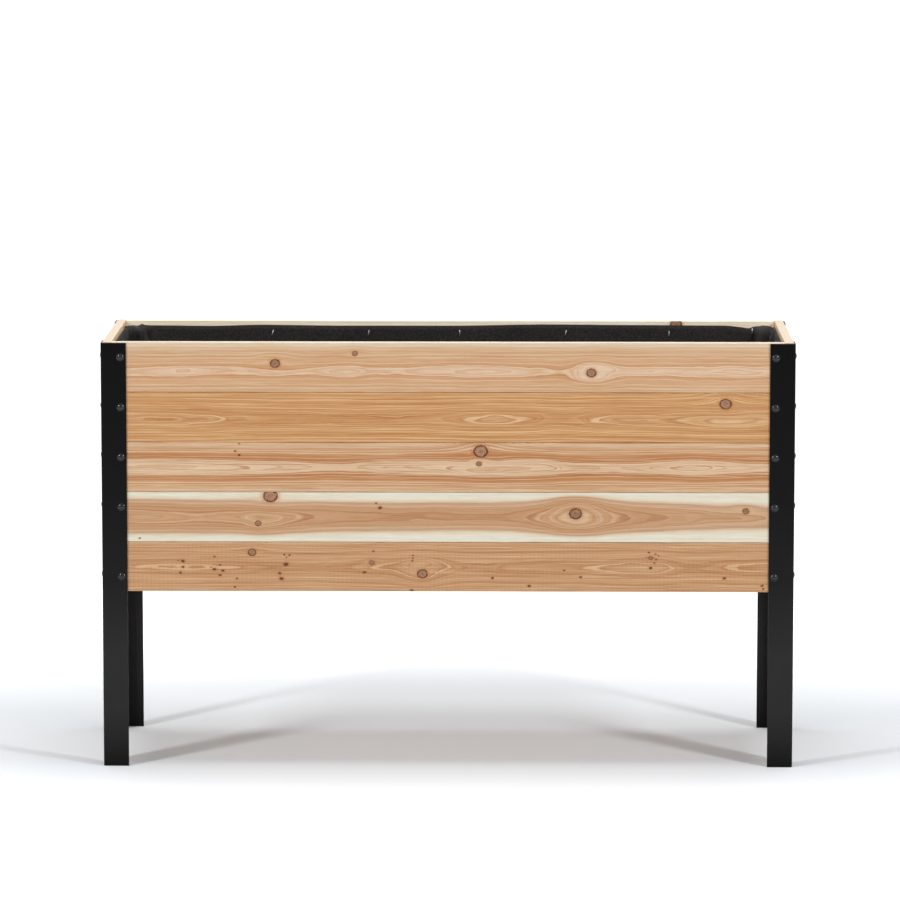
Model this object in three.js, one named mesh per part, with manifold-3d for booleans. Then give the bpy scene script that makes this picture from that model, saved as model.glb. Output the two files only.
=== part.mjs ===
// Raised planter on legs: a cedar box of tongue-and-groove boards, bolted into four black steel angle
// legs, with a slatted floor on two ledgers and a fabric liner inside.
// Millimetres, +Z up, front towards -Y, left towards -X. The origin is on the ground, under the
// middle of the box.

import * as THREE from "three";
import { mergeVertices } from "three/addons/utils/BufferGeometryUtils.js";
import Module from "manifold-3d";

const wasm = await Module();
wasm.setup();

// Overall
const overallLength = 1226; // over the legs' outer faces, along X
const overallDepth = 380; // over the legs' outer faces, along Y
const boxBottom = 315; // from the ground to the lower edge of the lowest boards
const seat = 0.3; // gap between pieces that bear on each other

// Steel angle legs
const steel = 2.5;
const flange = 45;
const innerBend = 1.5;
const legTopDrop = 1.5; // the legs stop this far below the top boards

// Wall boards, counted from the top down
const boardRows = 5;
const boardFace = 88.5;
const boardThickness = 16;
const boardJoint = 0.5; // between one board's face and the next
const boardEase = 0.5; // along the long edges
const boardEnd = 0.5; // clearance at each end of a front or back board
const tongueThickness = 5;
const tongueHeight = 6;
const tonguePlay = 0.3; // on each side of a tongue
const grooveSpare = 0.5; // beyond a tongue's tip

// Bolts: domed head, shank, washer and nut
const boltShank = 6;
const boltPlay = 0.5; // all round a shank in its hole
const headDiameter = 14;
const headHeight = 3.4;
const washerDiameter = 16;
const washerThickness = 1.5;
const nutAcrossFlats = 10;
const nutHeight = 5;
const threadEnd = 2; // beyond the nut
const boltFromFlangeEdge = 10;
const boltFromBoardEdge = 26.5;

// Floor
const ledgerThickness = 19;
const ledgerHeight = 38;
const ledgerBoltClearance = 2;
const slatWidth = 139.5;
const slatThickness = 16;
const slatLeastGap = 4; // the slats are spread evenly, as many as fit with this gap
const slatEndClearance = 2;
const slatSideClearance = 1;

// Liner
const linerThickness = 1.5;
const linerTopDrop = 8; // below the top boards' upper edge
const linerNutClearance = 1;

// Worked out from the sizes above
const boardPitch = boardFace + boardJoint;
const boxTop = boxBottom + boardRows * boardPitch - boardJoint;
const legHeight = boxTop - legTopDrop;
const boardOuter = steel + seat; // from a leg's outer face to a board's outer face
const boardInner = boardOuter + boardThickness;
const innerHalfLength = overallLength / 2 - boardInner;
const innerHalfDepth = overallDepth / 2 - boardInner;
const boltFromCorner = flange - boltFromFlangeEdge;
const boltTail = seat + washerThickness + nutHeight + threadEnd; // beyond a board's inner face
const floorBottom = boxBottom + ledgerHeight + seat;
const linerBottom = floorBottom + slatThickness + seat;

// Lower edge of a board, and the height of the bolts that hold it.
const boardBottomAt = (row) => boxTop - boardFace - (row - 1) * boardPitch;
const boltHeightAt = (row) =>
  row < boardRows
    ? boardBottomAt(row) + boardFace - boltFromBoardEdge
    : boardBottomAt(row) + boltFromBoardEdge;
const rows = Array.from({ length: boardRows }, (_, i) => i + 1);

// Finishes
const finish = (color, roughness, metalness) =>
  new THREE.MeshStandardMaterial({ color, roughness, metalness });
const rowCedar = [0xd6b28a, 0xd0a068, 0xcb9c70, 0xd2b894, 0xcfa474];
const cedar = (row) => finish(rowCedar[(row - 1) % rowCedar.length], 0.62, 0);
const roughCedar = () => finish(0xc79c70, 0.75, 0);
const blackSteel = () => finish(0x29282b, 0.45, 0.3);
const blackBolt = () => finish(0x1f1e21, 0.35, 0.5);
const blackFabric = () => finish(0x302e2f, 0.95, 0);

// A closed solid from a three.js geometry.
function solidFrom(geometry) {
  geometry.deleteAttribute("normal");
  geometry.deleteAttribute("uv");
  const merged = mergeVertices(geometry);
  const vertProperties = new Float32Array(merged.getAttribute("position").array);
  const triVerts = new Uint32Array(merged.getIndex().array);
  return new wasm.Manifold(new wasm.Mesh({ numProp: 3, vertProperties, triVerts }));
}

// A named mesh from a closed solid.
function meshFrom(name, solid, material) {
  const { vertProperties, triVerts } = solid.getMesh();
  const indexed = new THREE.BufferGeometry();
  indexed.setAttribute("position", new THREE.BufferAttribute(vertProperties, 3));
  indexed.setIndex(new THREE.BufferAttribute(triVerts, 1));
  const geometry = indexed.toNonIndexed();
  geometry.computeVertexNormals();
  const mesh = new THREE.Mesh(geometry, material);
  mesh.name = name;
  return mesh;
}

// An outline raised along Z.
const prism = (outline, height, curveSegments = 1) =>
  new THREE.ExtrudeGeometry(outline, { depth: height, bevelEnabled: false, curveSegments });

const outlineOf = (points) => new THREE.Shape(points.map(([x, y]) => new THREE.Vector2(x, y)));

// A round bar along Y, from one depth to another.
function barAlongY(diameter, from, to, sides) {
  const bar = new THREE.CylinderGeometry(diameter / 2, diameter / 2, to - from, sides);
  return bar.translate(0, (from + to) / 2, 0);
}

// The drill for one bolt hole: it runs along Y, well past both faces of what it cuts.
const drill = (depth) => barAlongY(boltShank + 2 * boltPlay, -depth, 2 * depth, 12);

// An angle leg standing on its corner, with its flanges along +X and +Y and five holes in each.
function legSolid() {
  const bend = steel + innerBend;
  const outline = new THREE.Shape();
  outline.moveTo(bend, 0);
  outline.lineTo(flange, 0);
  outline.lineTo(flange, steel);
  outline.lineTo(bend, steel);
  outline.absarc(bend, bend, innerBend, -Math.PI / 2, -Math.PI, true);
  outline.lineTo(steel, flange);
  outline.lineTo(0, flange);
  outline.lineTo(0, bend);
  outline.absarc(bend, bend, bend, Math.PI, 1.5 * Math.PI, false);
  let leg = solidFrom(prism(outline, legHeight, 5));
  for (const row of rows) {
    const height = boltHeightAt(row);
    const frontHole = drill(steel).translate(boltFromCorner, 0, height);
    const endHole = drill(steel).rotateZ(-Math.PI / 2).translate(0, boltFromCorner, height);
    leg = leg.subtract(solidFrom(frontHole)).subtract(solidFrom(endHole));
  }
  return leg;
}

// A wall board, lying along X with its outer face at y = 0 and its lower edge at z = 0. The top row
// has no tongue and the bottom row no groove. cornerCut takes off the outer corners of its ends.
function boardSolid(row, length, boltSpread, cornerCut) {
  const middle = boardThickness / 2;
  const groove = tongueThickness / 2 + tonguePlay;
  const grooveDepth = tongueHeight - boardJoint + grooveSpare;
  const lowerEdge = [[boardEase, 0]];
  if (row < boardRows)
    lowerEdge.push(
      [middle - groove, 0],
      [middle - groove, grooveDepth],
      [middle + groove, grooveDepth],
      [middle + groove, 0],
    );
  const upperEdge = [[boardThickness - boardEase, boardFace]];
  if (row > 1)
    upperEdge.push(
      [middle + tongueThickness / 2, boardFace],
      [middle + tongueThickness / 2, boardFace + tongueHeight],
      [middle - tongueThickness / 2, boardFace + tongueHeight],
      [middle - tongueThickness / 2, boardFace],
    );
  const section = outlineOf([
    ...lowerEdge,
    [boardThickness - boardEase, 0],
    [boardThickness, boardEase],
    [boardThickness, boardFace - boardEase],
    ...upperEdge,
    [boardEase, boardFace],
    [0, boardFace - boardEase],
    [0, boardEase],
  ]);
  const sectionAlongX = new THREE.Matrix4().makeBasis(
    new THREE.Vector3(0, 1, 0),
    new THREE.Vector3(0, 0, 1),
    new THREE.Vector3(1, 0, 0),
  );
  const half = length / 2;
  const plan = outlineOf([
    [cornerCut - half, 0],
    [half - cornerCut, 0],
    [half, cornerCut],
    [half, boardThickness],
    [-half, boardThickness],
    [-half, cornerCut],
  ]);
  const milled = prism(section, length).applyMatrix4(sectionAlongX).translate(-half, 0, 0);
  let board = solidFrom(milled).intersect(solidFrom(prism(plan, boardFace + tongueHeight)));
  for (const side of [-1, 1]) {
    const height = boltHeightAt(row) - boardBottomAt(row);
    const hole = drill(boardThickness).translate(side * boltSpread, 0, height);
    board = board.subtract(solidFrom(hole));
  }
  return board;
}

// A bolt along Y with its washer and nut on. The leg's outer face is at y = 0, its head outside.
function boltSolid() {
  const domeRadius = (headDiameter ** 2 / 4 + headHeight ** 2) / (2 * headHeight);
  const domeSteps = 4;
  const domeHalfAngle = Math.asin(headDiameter / 2 / domeRadius);
  const nutFrom = boardInner + seat + washerThickness;
  const nutTo = nutFrom + nutHeight;
  const shankEnd = boardInner + boltTail;
  const profile = [new THREE.Vector2(0, -seat - headHeight)];
  for (let step = 1; step <= domeSteps; step += 1) {
    const angle = (domeHalfAngle * step) / domeSteps;
    const height = domeRadius * (Math.cos(angle) - 1) + headHeight;
    profile.push(new THREE.Vector2(domeRadius * Math.sin(angle), -seat - height));
  }
  profile.push(
    new THREE.Vector2(boltShank / 2, -seat),
    new THREE.Vector2(boltShank / 2, shankEnd),
    new THREE.Vector2(0, shankEnd),
  );
  const nutDiameter = nutAcrossFlats / Math.cos(Math.PI / 6);
  const washer = barAlongY(washerDiameter, nutFrom - washerThickness, nutFrom, 16);
  const nut = barAlongY(nutDiameter, nutFrom, nutTo, 6);
  return solidFrom(new THREE.LatheGeometry(profile, 12)).add(solidFrom(washer)).add(solidFrom(nut));
}

// The liner: a thin tray, open at the top, whose corners cut across in front of the nuts.
function linerSolid() {
  const nutReach = boltFromCorner + washerDiameter / 2 - boardInner + boltTail;
  const cornerCut = nutReach + linerNutClearance * Math.SQRT2;
  const tray = (inset, from, to) => {
    const x = innerHalfLength - inset;
    const y = innerHalfDepth - inset;
    // Moving a diagonal side inwards by the inset shifts its ends by this much along the walls.
    const cut = cornerCut - inset * (2 - Math.SQRT2);
    const outline = outlineOf([
      [cut - x, -y],
      [x - cut, -y],
      [x, cut - y],
      [x, y - cut],
      [x - cut, y],
      [cut - x, y],
      [-x, y - cut],
      [-x, cut - y],
    ]);
    return solidFrom(prism(outline, to - from).translate(0, 0, from));
  };
  const top = boxTop - linerTopDrop;
  const hollow = tray(seat + linerThickness, linerBottom + linerThickness, top + linerThickness);
  return tray(seat, linerBottom, top).subtract(hollow);
}

// Four legs, the same angle turned or mirrored into each corner.
function legs() {
  const group = new THREE.Group();
  for (const [depthName, y] of [["front", -1], ["back", 1]])
    for (const [sideName, x] of [["left", -1], ["right", 1]]) {
      const leg = meshFrom(`leg_${depthName}_${sideName}`, legSolid(), blackSteel());
      leg.position.set((x * overallLength) / 2, (y * overallDepth) / 2, 0);
      leg.scale.set(-x, -y, 1);
      group.add(leg);
    }
  return group;
}

// The boards of one wall, in the wall's own frame: along X, outer leg faces at y = 0, inwards +Y.
function wallBoards(name, length, boltSpread, cornerCut) {
  return rows.map((row) => {
    const solid = boardSolid(row, length, boltSpread, cornerCut);
    const board = meshFrom(`${name}_board_${row}`, solid, cedar(row));
    board.position.set(0, boardOuter, boardBottomAt(row));
    return board;
  });
}

// The bolts through the front and back flanges of the legs, in the same frame.
function wallBolts(name, boltSpread, sides) {
  return sides.flatMap(([sideName, x]) =>
    rows.map((row) => {
      const bolt = meshFrom(`bolt_${name}_${sideName}_${row}`, boltSolid(), blackBolt());
      bolt.position.set(x * boltSpread, 0, boltHeightAt(row));
      return bolt;
    }),
  );
}

// The long walls, whose boards fit between the end walls.
function longWalls() {
  const length = 2 * (innerHalfLength - boardEnd);
  const boltSpread = overallLength / 2 - boltFromCorner;
  const front = new THREE.Group();
  front.position.y = -overallDepth / 2;
  front.add(...wallBoards("front", length, boltSpread, boardEase));
  front.add(...wallBolts("front", boltSpread, [["left", -1], ["right", 1]]));
  const back = new THREE.Group();
  back.position.y = overallDepth / 2;
  back.rotation.z = Math.PI;
  back.add(...wallBoards("back", length, boltSpread, boardEase));
  back.add(...wallBolts("back", boltSpread, [["left", 1], ["right", -1]]));
  return [front, back];
}

// The end walls, whose boards run the full depth, with corners cut to clear the legs' bends.
function endWalls() {
  const length = overallDepth - 2 * boardOuter;
  const boltSpread = overallDepth / 2 - boltFromCorner;
  return [["left", -1], ["right", 1]].map(([name, x]) => {
    const wall = new THREE.Group();
    wall.position.x = (x * overallLength) / 2;
    wall.rotation.z = (x * Math.PI) / 2;
    wall.add(...wallBoards(name, length, boltSpread, innerBend));
    return wall;
  });
}

// Two ledgers along the long walls, clear of the bolts, and the slats that lie across them.
function floor() {
  const group = new THREE.Group();
  const ledgerHalf = overallLength / 2 - boltFromCorner - washerDiameter / 2 - ledgerBoltClearance;
  for (const [name, y] of [["front", -1], ["back", 1]]) {
    const ledger = new THREE.BoxGeometry(2 * ledgerHalf, ledgerThickness, ledgerHeight);
    const mesh = meshFrom(`ledger_${name}`, solidFrom(ledger), roughCedar());
    const depth = innerHalfDepth - seat - ledgerThickness / 2;
    mesh.position.set(0, y * depth, boxBottom + ledgerHeight / 2);
    group.add(mesh);
  }
  const span = 2 * (innerHalfLength - slatEndClearance);
  const count = Math.floor((span + slatLeastGap) / (slatWidth + slatLeastGap));
  const pitch = (span - slatWidth) / (count - 1);
  const slatLength = 2 * (innerHalfDepth - slatSideClearance);
  for (let i = 0; i < count; i += 1) {
    const slat = new THREE.BoxGeometry(slatWidth, slatLength, slatThickness);
    const mesh = meshFrom(`floor_slat_${i + 1}`, solidFrom(slat), roughCedar());
    mesh.position.set((slatWidth - span) / 2 + i * pitch, 0, floorBottom + slatThickness / 2);
    group.add(mesh);
  }
  return group;
}

const planter = new THREE.Group();
planter.add(legs(), ...longWalls(), ...endWalls(), floor());
planter.add(meshFrom("liner", linerSolid(), blackFabric()));

export default planter;
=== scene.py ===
"""A raised planter on legs: a cedar box bolted into four black steel angle legs, with a fabric liner.

Metres, +Z up, front towards -Y. Sizes are written in millimetres and multiplied by MM. A wall board is
made lying along its own X, outer face at y = 0 and lower edge at z = 0, and is then turned into its wall.
"""

import math
import random
from dataclasses import dataclass

import bmesh
import bpy
from mathutils import Euler, Matrix, Vector, noise


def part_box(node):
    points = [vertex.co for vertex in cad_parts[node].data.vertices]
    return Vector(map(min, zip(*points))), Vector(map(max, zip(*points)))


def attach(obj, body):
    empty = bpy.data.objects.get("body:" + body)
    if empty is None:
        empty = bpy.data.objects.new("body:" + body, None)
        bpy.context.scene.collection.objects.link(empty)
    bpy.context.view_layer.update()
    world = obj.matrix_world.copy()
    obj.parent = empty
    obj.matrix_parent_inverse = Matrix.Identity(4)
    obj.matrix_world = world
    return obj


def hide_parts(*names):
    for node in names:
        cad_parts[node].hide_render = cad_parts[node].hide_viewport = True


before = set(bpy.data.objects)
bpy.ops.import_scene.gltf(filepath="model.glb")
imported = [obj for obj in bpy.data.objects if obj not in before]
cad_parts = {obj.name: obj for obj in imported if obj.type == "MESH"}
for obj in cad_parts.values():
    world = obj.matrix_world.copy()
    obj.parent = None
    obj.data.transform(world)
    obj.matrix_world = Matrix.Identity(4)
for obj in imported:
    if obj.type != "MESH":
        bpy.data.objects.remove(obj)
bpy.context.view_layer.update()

MM = 0.001
SCENE = bpy.context.scene


# ---------------------------------------------------------------- sizes read from the frame

def box_mm(node):
    low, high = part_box(node)
    return low / MM, high / MM


LEG_HIGH = box_mm("leg_back_right")[1]
HALF_LENGTH, HALF_DEPTH = LEG_HIGH.x, LEG_HIGH.y
LEG_HEIGHT = LEG_HIGH.z
ROWS = (1, 2, 3, 4, 5)
TOP_BOARD_LOW, TOP_BOARD_HIGH = box_mm("front_board_1")
BOARD_FACE = TOP_BOARD_HIGH.z - TOP_BOARD_LOW.z
BOARD_THICKNESS = TOP_BOARD_HIGH.y - TOP_BOARD_LOW.y
BOARD_OUTER = HALF_DEPTH + TOP_BOARD_LOW.y
BOX_TOP = TOP_BOARD_HIGH.z
TONGUE_HEIGHT = box_mm("front_board_2")[1].z - box_mm("front_board_2")[0].z - BOARD_FACE
BOLT_LOW, BOLT_HIGH = box_mm("bolt_front_left_1")
BOLT_FROM_CORNER = HALF_LENGTH + (BOLT_LOW.x + BOLT_HIGH.x) / 2
HEAD_HEIGHT = -HALF_DEPTH - BOLT_LOW.y
BOLT_END = BOLT_HIGH.y + HALF_DEPTH


def bolt_height(row):
    low, high = box_mm(f"bolt_front_left_{row}")
    return (low.z + high.z) / 2


# ---------------------------------------------------------------- camera

LENS = 204.262
CAMERA_PLACE = (94.787, -9130.28, 1766.62)
CAMERA_DOWN = math.radians(7.630)
CAMERA_LEFT = math.radians(0.5833)
CAMERA_ROLL = math.radians(0.0215)


def set_up_camera():
    data = bpy.data.cameras.new("camera")
    data.lens = LENS
    data.sensor_width = 36.0
    data.clip_end = 100.0
    camera = bpy.data.objects.new("camera", data)
    SCENE.collection.objects.link(camera)
    camera.location = Vector(CAMERA_PLACE) * MM
    turn = Euler((math.pi / 2 - CAMERA_DOWN, 0.0, CAMERA_LEFT)).to_matrix()
    camera.rotation_euler = (turn @ Matrix.Rotation(CAMERA_ROLL, 3, "Z")).to_euler()
    SCENE.camera = camera


set_up_camera()


# ---------------------------------------------------------------- shader nodes

def painted(red, green, blue):
    """A colour as it looks, 0 to 255 a channel, in the linear values that a shader takes."""
    linear = []
    for channel in (red, green, blue):
        share = channel / 255
        linear.append(share / 12.92 if share <= 0.04045 else ((share + 0.055) / 1.055) ** 2.4)
    return (*linear, 1.0)


class Bench:
    """Lays nodes out on one tree. Every input may be a socket or a plain value."""

    def __init__(self, tree):
        self.tree = tree

    def put(self, socket, value):
        if isinstance(value, bpy.types.NodeSocket):
            self.tree.links.new(value, socket)
        else:
            socket.default_value = value

    def node(self, kind, inputs=None, **settings):
        made = self.tree.nodes.new(kind)
        for name, value in settings.items():
            setattr(made, name, value)
        for name, value in (inputs or {}).items():
            self.put(made.inputs[name], value)
        return made

    def math(self, operation, *values, clamp=False):
        made = self.node("ShaderNodeMath", operation=operation, use_clamp=clamp)
        for socket, value in zip(made.inputs, values):
            self.put(socket, value)
        return made.outputs[0]

    def times(self, first, second):
        return self.math("MULTIPLY", first, second)

    def plus(self, first, second):
        return self.math("ADD", first, second)

    def minus(self, first, second):
        return self.math("SUBTRACT", first, second)

    def times_plus(self, value, factor, added):
        return self.math("MULTIPLY_ADD", value, factor, added)

    def vector(self, operation, *values):
        made = self.node("ShaderNodeVectorMath", operation=operation)
        for socket, value in zip(made.inputs, values):
            self.put(socket, value)
        return made.outputs["Value" if operation in ("LENGTH", "DOT_PRODUCT") else "Vector"]

    def scaled(self, vector, factors):
        return self.vector("MULTIPLY", vector, factors)

    def split(self, vector):
        return self.node("ShaderNodeSeparateXYZ", {"Vector": vector}).outputs

    def join(self, x, y, z):
        return self.node("ShaderNodeCombineXYZ", {"X": x, "Y": y, "Z": z}).outputs[0]

    def noise(self, place, detail=2.0, roughness=0.5):
        values = {"Vector": place, "Scale": 1.0, "Detail": detail, "Roughness": roughness}
        return self.node("ShaderNodeTexNoise", values).outputs["Fac"]

    def noise_along(self, value, detail=1.0):
        values = {"W": value, "Scale": 1.0, "Detail": detail}
        return self.node("ShaderNodeTexNoise", values, noise_dimensions="1D").outputs["Fac"]

    def steps(self, value, low, high, to_low=0.0, to_high=1.0):
        """A smooth rise, or fall, of value from low to high."""
        values = {"Value": value, "From Min": low, "From Max": high, "To Min": to_low, "To Max": to_high}
        return self.node("ShaderNodeMapRange", values, interpolation_type="SMOOTHSTEP").outputs[0]

    def spread(self, value, low, high):
        """The share of the way that value has come from low to high."""
        values = {"Value": value, "From Min": low, "From Max": high}
        return self.node("ShaderNodeMapRange", values).outputs[0]

    def mix(self, share, first, second, blend="MIX"):
        made = self.node("ShaderNodeMix", data_type="RGBA", blend_type=blend)
        self.put(made.inputs[0], share)
        self.put(made.inputs[6], first)
        self.put(made.inputs[7], second)
        return made.outputs[2]

    def ramp(self, value, stops):
        made = self.node("ShaderNodeValToRGB", {"Fac": value})
        elements = made.color_ramp.elements
        elements.remove(elements[1])
        elements[0].position, elements[0].color = stops[0]
        for position, colour in stops[1:]:
            elements.new(position).color = colour
        return made.outputs["Color"]

    def curve(self, value, points):
        made = self.node("ShaderNodeFloatCurve", {"Value": value})
        line = made.mapping.curves[0]
        line.points[0].location = points[0]
        line.points[1].location = points[-1]
        for point in points[1:-1]:
            line.points.new(*point)
        made.mapping.update()
        return made.outputs[0]

    def group(self, group, inputs):
        return self.node("ShaderNodeGroup", inputs, node_tree=group).outputs


SOCKETS = {1: "NodeSocketFloat", 3: "NodeSocketVector", 4: "NodeSocketColor"}


def new_group(name, takes, gives):
    """An empty group. takes gives each input its default value, gives the length of each output."""
    group = bpy.data.node_groups.new(name, "ShaderNodeTree")
    for label, default in takes.items():
        length = len(default) if isinstance(default, tuple) else 1
        socket = group.interface.new_socket(name=label, in_out="INPUT", socket_type=SOCKETS[length])
        socket.default_value = default
    for label, length in gives.items():
        group.interface.new_socket(name=label, in_out="OUTPUT", socket_type=SOCKETS[length])
    bench = Bench(group)
    given = bench.node("NodeGroupInput").outputs
    made = bench.node("NodeGroupOutput").inputs
    return group, bench, given, made


def new_material(name, **constants):
    """A material with a Principled shader. Its plain numbers are set on the shader's own sockets."""
    material = bpy.data.materials.new(name)
    material.use_nodes = True
    tree = material.node_tree
    tree.nodes.clear()
    bench = Bench(tree)
    shader = bench.node("ShaderNodeBsdfPrincipled")
    for label, value in constants.items():
        shader.inputs[label.replace("_", " ")].default_value = value
    output = bench.node("ShaderNodeOutputMaterial")
    tree.links.new(shader.outputs[0], output.inputs["Surface"])
    return material, bench, shader.inputs


def place_in_mm(bench):
    place = bench.node("ShaderNodeTexCoord").outputs["Object"]
    return bench.scaled(place, (1 / MM, 1 / MM, 1 / MM))


def dress(bench, sockets, colour, roughness, height, relief):
    """Feeds the shader. relief is how deep, in millimetres, the bumps are where height is 1."""
    bench.put(sockets["Base Color"], colour)
    bench.put(sockets["Roughness"], roughness)
    bump = bench.node("ShaderNodeBump", {"Height": height, "Distance": relief * MM})
    bump.inputs["Strength"].default_value = 1.0
    bench.put(sockets["Normal"], bump.outputs[0])


# ---------------------------------------------------------------- cedar

GROWTH_LOW, GROWTH_HIGH = -4.0, 16.0  # the growth, in millimetres, that a board's colours cover
FIGURE_HALF = 600.0  # a figure runs this far each way from a board's middle
FIGURE_REACH = 6.0  # and moves the growth by up to this much
PIN_CORE = 0.85  # the dark core of a pin knot, as a share of its radius


def knot_group():
    """Bends the grain round one knot. Bend holds the swell, the nearest knot's edge and the shift."""
    takes = {"Place": (0.0, 0.0, 0.0), "Bend": (0.0, 9.0, 0.0), "Centre": (0.0, 0.0, 0.0)}
    takes |= {"Size": 5.0, "Swell": 1.0}
    group, bench, given, made = new_group("Knot", takes, {"Bend": 3})
    offset = bench.vector("SUBTRACT", given["Place"], given["Centre"])
    bend = bench.split(given["Bend"])
    reach = bench.vector("LENGTH", bench.scaled(offset, (0.25, 0.0, 0.5)))
    reach = bench.math("DIVIDE", reach, given["Size"])
    fade = bench.math("EXPONENT", bench.times(bench.times(reach, reach), -1.0))
    part = bench.vector("LENGTH", bench.scaled(offset, (0.95, 0.0, 1.1)))
    nearest = bench.math("MINIMUM", bend["Y"], bench.math("DIVIDE", part, given["Size"]))
    swell = bench.times_plus(fade, given["Swell"], bend["X"])
    push = bench.times(bench.split(offset)["Z"], bench.times(fade, -0.8))
    shift = bench.plus(bend["Z"], push)
    bench.put(made["Bend"], bench.join(swell, nearest, shift))
    return group


def pin_knot_group():
    """One small knot, which leaves the grain as it runs."""
    takes = {"Place": (0.0, 0.0, 0.0), "Nearest": 9.0, "Centre": (0.0, 0.0, 0.0), "Size": 2.0}
    group, bench, given, made = new_group("Pin Knot", takes, {"Nearest": 1})
    offset = bench.vector("SUBTRACT", given["Place"], given["Centre"])
    part = bench.vector("LENGTH", bench.scaled(offset, (0.7, 0.0, 1.0)))
    ratio = bench.math("DIVIDE", part, given["Size"])
    bench.put(made["Nearest"], bench.math("MINIMUM", given["Nearest"], ratio))
    return group


def growth_group():
    """Growth layers round a heart line that runs along the board, behind its face."""
    takes = {"Place": (0.0, 0.0, 0.0), "Bend": (0.0, 9.0, 0.0), "Figure": 0.0, "Heart Height": 44.0}
    takes |= {"Heart Depth": 60.0, "Wander": 1.0, "Ring Width": 0.8, "Seed": 0.0}
    gives = {"Growth": 1, "Latewood": 1, "Earlywood": 1, "Band": 1}
    group, bench, given, made = new_group("Growth Layers", takes, gives)
    place = bench.split(given["Place"])
    bend = bench.split(given["Bend"])
    seeded = bench.vector("ADD", given["Place"], bench.scaled(given["Seed"], (173.0, 31.0, 57.0)))
    slow = bench.noise(bench.scaled(seeded, (0.005, 0.03, 0.022)), 2.0)
    quick = bench.noise(bench.scaled(seeded, (0.02, 0.11, 0.085)), 2.0)
    quick = bench.minus(quick, 0.5)
    slow = bench.minus(slow, 0.5)
    warp = bench.times_plus(quick, 0.45, slow)
    warp = bench.times(warp, bench.times(given["Wander"], 5.0))
    rise = bench.minus(bench.plus(place["Z"], bend["Z"]), given["Heart Height"])
    depth = bench.minus(given["Heart Depth"], place["Y"])
    radius = bench.vector("LENGTH", bench.join(rise, depth, 0.0))
    growth = bench.minus(radius, given["Heart Depth"])
    growth = bench.plus(growth, given["Figure"])
    growth = bench.plus(growth, warp)
    growth = bench.minus(growth, bend["X"])
    season = bench.math("DIVIDE", growth, given["Ring Width"])
    uneven = bench.noise_along(bench.times_plus(season, 0.45, given["Seed"]), 2.0)
    season = bench.times_plus(uneven, 2.4, season)
    part = bench.math("FRACT", season)
    rising = bench.steps(part, 0.55, 0.92)
    falling = bench.steps(part, 0.95, 1.0, 1.0, 0.0)
    winter = bench.math("FLOOR", bench.minus(season, 0.5))
    year = bench.node("ShaderNodeTexWhiteNoise", {"W": winter}, noise_dimensions="1D")
    strength = bench.times_plus(year.outputs["Value"], 0.85, 0.15)
    latewood = bench.times(bench.times(rising, falling), strength)
    earlywood = bench.times(bench.steps(part, 0.3, 0.04), strength)
    band_start = bench.times(given["Seed"], 7.3)
    band = bench.noise_along(bench.times_plus(growth, 0.7, band_start), 2.0)
    bench.put(made["Growth"], growth)
    bench.put(made["Latewood"], latewood)
    bench.put(made["Earlywood"], earlywood)
    bench.put(made["Band"], band)
    return group


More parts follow.
